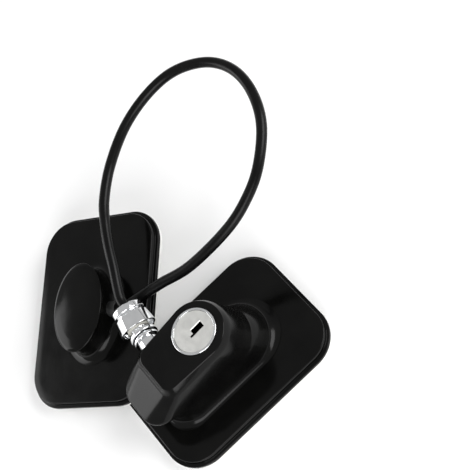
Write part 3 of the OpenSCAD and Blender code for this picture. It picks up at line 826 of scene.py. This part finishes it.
# -------------------------------------------------------- plug and swivel
@dataclass
class SwivelPlug:
    """The chrome plug with its ball, and the cup and cap that hold the ball."""

    ball: float = 3.2
    cup: float = 7.0
    shaft: float = 3.0

    def plug(self, finishes: Finishes) -> None:
        """Ball, neck, flange, grooved shaft and tapered tip in one turned profile."""
        meet = np.arcsin(1.9 / self.ball)
        u = np.linspace(0.02, np.pi - meet, 28)
        globe = np.c_[self.ball * np.sin(u), -BALL_REACH - self.ball * np.cos(u)]
        s = self.shaft
        keys = [globe[-1], (1.9, -18.7), (2.6, -18.3), (3.8, -17.9), (5.4, -17.7), (5.4, -16.1),
                (s, -16.1), (s, -9.7), (s - 0.7, -9.7), (s - 0.7, -8.3), (s, -8.3), (s, -1.6),
                (1.5, -1.6), (1.5, 1.5), (s, 1.5), (s, 3.6), (s - 1.2, 5), (0.2, 5)]
        reach = (0, 0.08, 0.2, 0.4, 0.5, 0.4, 0.2, 0.1, 0.1, 0.1, 0.1, 0.15, 0.1, 0.1, 0.15,
                 0.4, 0.3, 0)
        profile = np.vstack([globe[:-1], soften(keys, reach, steps=4)])
        piece = lathe("plug_and_ball", profile, Ends.CAPS, PLUG)
        settle(piece, finishes.bright, "plug", "plug_pin")

    def socket(self, finishes: Finishes) -> None:
        """The bush in the block's side, a closed turned profile."""
        keys = [(3.05, -15.6), (4.9, -15.6), (4.9, -14.4), (3.85, -14.4), (3.85, -10.45),
                (3.05, -10.45)]
        profile = soften(keys, (0.25, 0.35, 0.2, 0, 0.1, 0.1), loop=True)
        piece = lathe("plug_socket_bush", profile, Ends.LOOP, PLUG)
        settle(piece, finishes.bright, "lock", "plug_socket")

    def cup_and_cap(self, finishes: Finishes) -> None:
        """The two stacked rings, each a closed turned profile."""
        r = self.cup
        keys = [(r - 0.8, -0.8), (r, -0.8), (r - 0.7, 4.8), (r - 1.8, 4.8), (r - 1.8, 5.8),
                (2.85, 5.8), (2.85, 4.0), (4.2, 4.0), (4.2, 1.0), (r - 0.8, 1.0)]
        profile = soften(keys, (0.2, 0.25, 0.6, 0.25, 0, 0, 0.1, 0.1, 0.1, 0.2), loop=True)
        settle(lathe("swivel_cup_ring", profile, Ends.LOOP, CUP, 128), finishes.bright,
               "cable_side", "swivel_cup")
        keys = [(2.05, 5.8), (r - 0.9, 5.8), (r - 0.9, 8.1), (r - 1.8, 8.8), (2.05, 8.8)]
        profile = soften(keys, (0.1, 0.45, 0.6, 0.4, 0.35), loop=True)
        settle(lathe("swivel_cap_ring", profile, Ends.LOOP, CUP, 128), finishes.bright,
               "cable_side", "swivel_cap")

    def build(self, finishes: Finishes) -> None:
        """Makes all the turned pieces."""
        self.plug(finishes)
        self.socket(finishes)
        self.cup_and_cap(finishes)


# ------------------------------------------------------------ anchor knob
@dataclass
class AnchorKnob:
    """The oval mushroom knob and the boot where the cable enters it."""

    base: float = 5.3
    height: float = 12.0
    half: tuple[float, float] = (11.2, 17.0)

    def build(self, finishes: Finishes) -> None:
        """Makes the knob with its cable passage, and the boot."""
        a, b = self.half
        low, top = self.base, self.base + self.height
        s = np.linspace(0, 1, 8)[:, None] * np.pi / 2
        first, last = np.array([14.8, 20.0, low + 0.25]), np.array([10.5, 16.1, low + 3.6])
        flare = first + (last - first) * np.sin(s)
        flare[:, 2:] = first[2] + (last[2] - first[2]) * (1 - np.cos(s))
        cap = soften(
            [flare[-1], (10.4, 16, top - 3.3), (a, b, top - 2.2), (a, b, top - 1.3),
             (a - 1.2, b - 1.2, top - 0.7), (a - 3.8, b - 4.2, top - 0.28)],
            (0, 0.6, 0.5, 0.4, 0.5, 0), steps=6)
        t = np.linspace(0.93, 0.05, 9)[:, None]
        dome = np.hstack([cap[-1, 0] * t, cap[-1, 1] * t, top - 0.28 * t**2])
        keys = np.vstack([first - np.array([0, 0, 0.25]), flare[:-1], cap, dome])
        u = np.linspace(0, 2 * np.pi, 128, endpoint=False)
        rows = np.stack([keys[:, :1] * np.cos(u), keys[:, 1:2] * np.sin(u),
                         keys[:, 2:] + 0 * u], -1)
        knob = skin("anchor_knob_shell", rows, Ends.CAPS, KNOB)
        carve(knob, [
            rod("cable_way", 2.9, 0, 30, KNOB_EXIT, 48),
            block("pocket", (-4.2, -3.6, 4.3), (4.8, 3.6, 13.4), KNOB),
            rod("thread", 1.45, 4.3, 12.7, Pose((0, -11, 0), (), KNOB), 32),
            rod("thread", 1.45, 4.3, 12.7, Pose((0, 11, 0), (), KNOB), 32)])
        settle(knob, finishes.gloss_black, "cable_side", "anchor_knob")
        keys = [(2.05, 5.4), (2.85, 5.4), (2.85, 12.2), (2.6, 13.6), (2.05, 13.6)]
        profile = soften(keys, (0, 0.1, 0.8, 0.3, 0.1), loop=True)
        boot = lathe("cable_boot_sleeve", profile, Ends.LOOP, KNOB_EXIT, 64)
        settle(boot, finishes.rubber, "cable_side", "cable_boot")


# ---------------------------------------------------------- carried nodes
def dress_inner_nodes(finishes: Finishes) -> None:
    """Gives every CAD node that stays its own finish."""
    plan = {
        "body_screws": finishes.screw, "knob_screws": finishes.screw,
        "keeper_screws": finishes.screw, "cam_screw": finishes.screw,
        "housing_pin": finishes.spring, "wafer_springs": finishes.spring,
        # the wafers get the brass darkened as painted shade
        "latch_spring": finishes.spring, "wafer_tumblers": finishes.brass,
        "cam": finishes.pressed, "latch_bolt": finishes.pressed,
        "keeper_plate": finishes.pressed, "plug_o_ring": finishes.rubber,
        "swivel_seat": finishes.acetal, "cable_ferrule": finishes.crimp,
        "cable_stop": finishes.crimp, "wire_rope": finishes.rope}
    for node, material in plan.items():
        for place in frame["nodes"][node].material_slots:
            place.material = material
        log.info("%s dressed in %s", node, material.name)


# ------------------------------------------------------------------ studio
@dataclass(frozen=True)
class SoftBox:
    """A square studio light that looks at the object."""

    name: str
    place: tuple[float, float, float]
    size: float
    power: float
    target: tuple[float, float, float] = (-40.0, 10.0, 15.0)


@dataclass
class Studio:
    """Camera, pale floor and plain soft lights."""

    eye: tuple[float, float, float] = (213.1, 26.4, 389.7)
    right: tuple[float, float, float] = (0.5866, 0.7247, -0.3616)
    back: tuple[float, float, float] = (0.5408, -0.0182, 0.8409)
    lens: float = 91.9
    boxes: tuple[SoftBox, ...] = (
        SoftBox("far_light", (330.0, 700.0, 560.0), 600.0, 6.8),
        SoftBox("near_light", (720.0, -320.0, 460.0), 600.0, 5.8),
        SoftBox("end_light", (-500.0, -620.0, 260.0), 480.0, 2.8))

    def camera(self) -> None:
        """Sets the camera from its place and two of its axes."""
        back, right = np.array(self.back), np.array(self.right)
        back = back / np.linalg.norm(back)
        right = right - back * (right @ back)
        right = right / np.linalg.norm(right)
        up = np.cross(back, right)
        m = np.eye(4)
        m[:3, 0], m[:3, 1], m[:3, 2] = right, up, back
        m[:3, 3] = np.array(self.eye) * MM
        lens = bpy.data.cameras.new("studio_camera")
        lens.lens, lens.sensor_width = self.lens, 36.0
        lens.clip_start, lens.clip_end = 0.01, 10.0
        cam = add_object("studio_camera", lens)
        cam.matrix_world = Matrix(m.tolist())
        bpy.context.scene.camera = cam

    def floor(self) -> None:
        """A wide pale sheet under the object, level with its adhesive face."""
        side = np.linspace(-2.5, 2.5, 9)
        x, y = np.meshgrid(side, side)
        points = np.stack([x, y, np.full_like(x, -0.00005)], -1).reshape(-1, 3)
        i = (np.arange(8)[:, None] * 9 + np.arange(8)[None]).ravel()
        mesh = bpy.data.meshes.new("studio_floor")
        mesh.from_pydata(points, [], np.stack([i, i + 1, i + 10, i + 9], -1).tolist())
        sheet = add_object("studio_floor", mesh)
        tree = Tree("pale_floor")
        tree.shader.inputs["Base Color"].default_value = (0.9, 0.9, 0.9, 1.0)
        tree.shader.inputs["Roughness"].default_value = 0.9
        dress(sheet, tree.material)

    def lights(self) -> None:
        """Soft boxes, and an even pale sky."""
        for box in self.boxes:
            data = bpy.data.lights.new(box.name, "AREA")
            data.shape, data.size, data.energy = "SQUARE", box.size * MM, box.power
            lamp = add_object(box.name, data)
            back = np.array(box.place) - np.array(box.target)
            back = back / np.linalg.norm(back)
            side = np.cross((0.0, 0.0, 1.0), back)
            side = side / np.linalg.norm(side)
            m = np.eye(4)
            m[:3, 0], m[:3, 1], m[:3, 2] = side, np.cross(back, side), back
            m[:3, 3] = np.array(box.place) * MM
            lamp.matrix_world = Matrix(m.tolist())
        world = bpy.data.worlds.new("studio_sky")
        world.use_nodes = True
        world.node_tree.nodes["Background"].inputs["Color"].default_value = (1, 1, 1, 1)
        world.node_tree.nodes["Background"].inputs["Strength"].default_value = 0.52
        bpy.context.scene.world = world

    def build(self) -> None:
        """Sets up the whole studio."""
        self.camera()
        self.floor()
        self.lights()
        bpy.context.scene.view_settings.view_transform = "Standard"


def main() -> None:
    """Builds the studio, the cable and every sub-assembly in order."""
    logging.basicConfig(level=logging.INFO, format="%(message)s")
    Studio().build()
    finishes = Finishes()
    Cable().build(finishes)
    MountingPlate("lock", "lock", FLOOR, ((-5.5, 15), (5.5, 15), (-8, -20), (8, -20))
                  ).build(finishes)
    MountingPlate("anchor", "cable_side", ANCHOR, ((1.9, -13.1), (1.9, 8.9))).build(finishes)
    LockBlock().build(finishes)
    KeyCylinder().build(finishes)
    SwivelPlug().build(finishes)
    AnchorKnob().build(finishes)
    dress_inner_nodes(finishes)


if __name__ == "__main__":
    main()
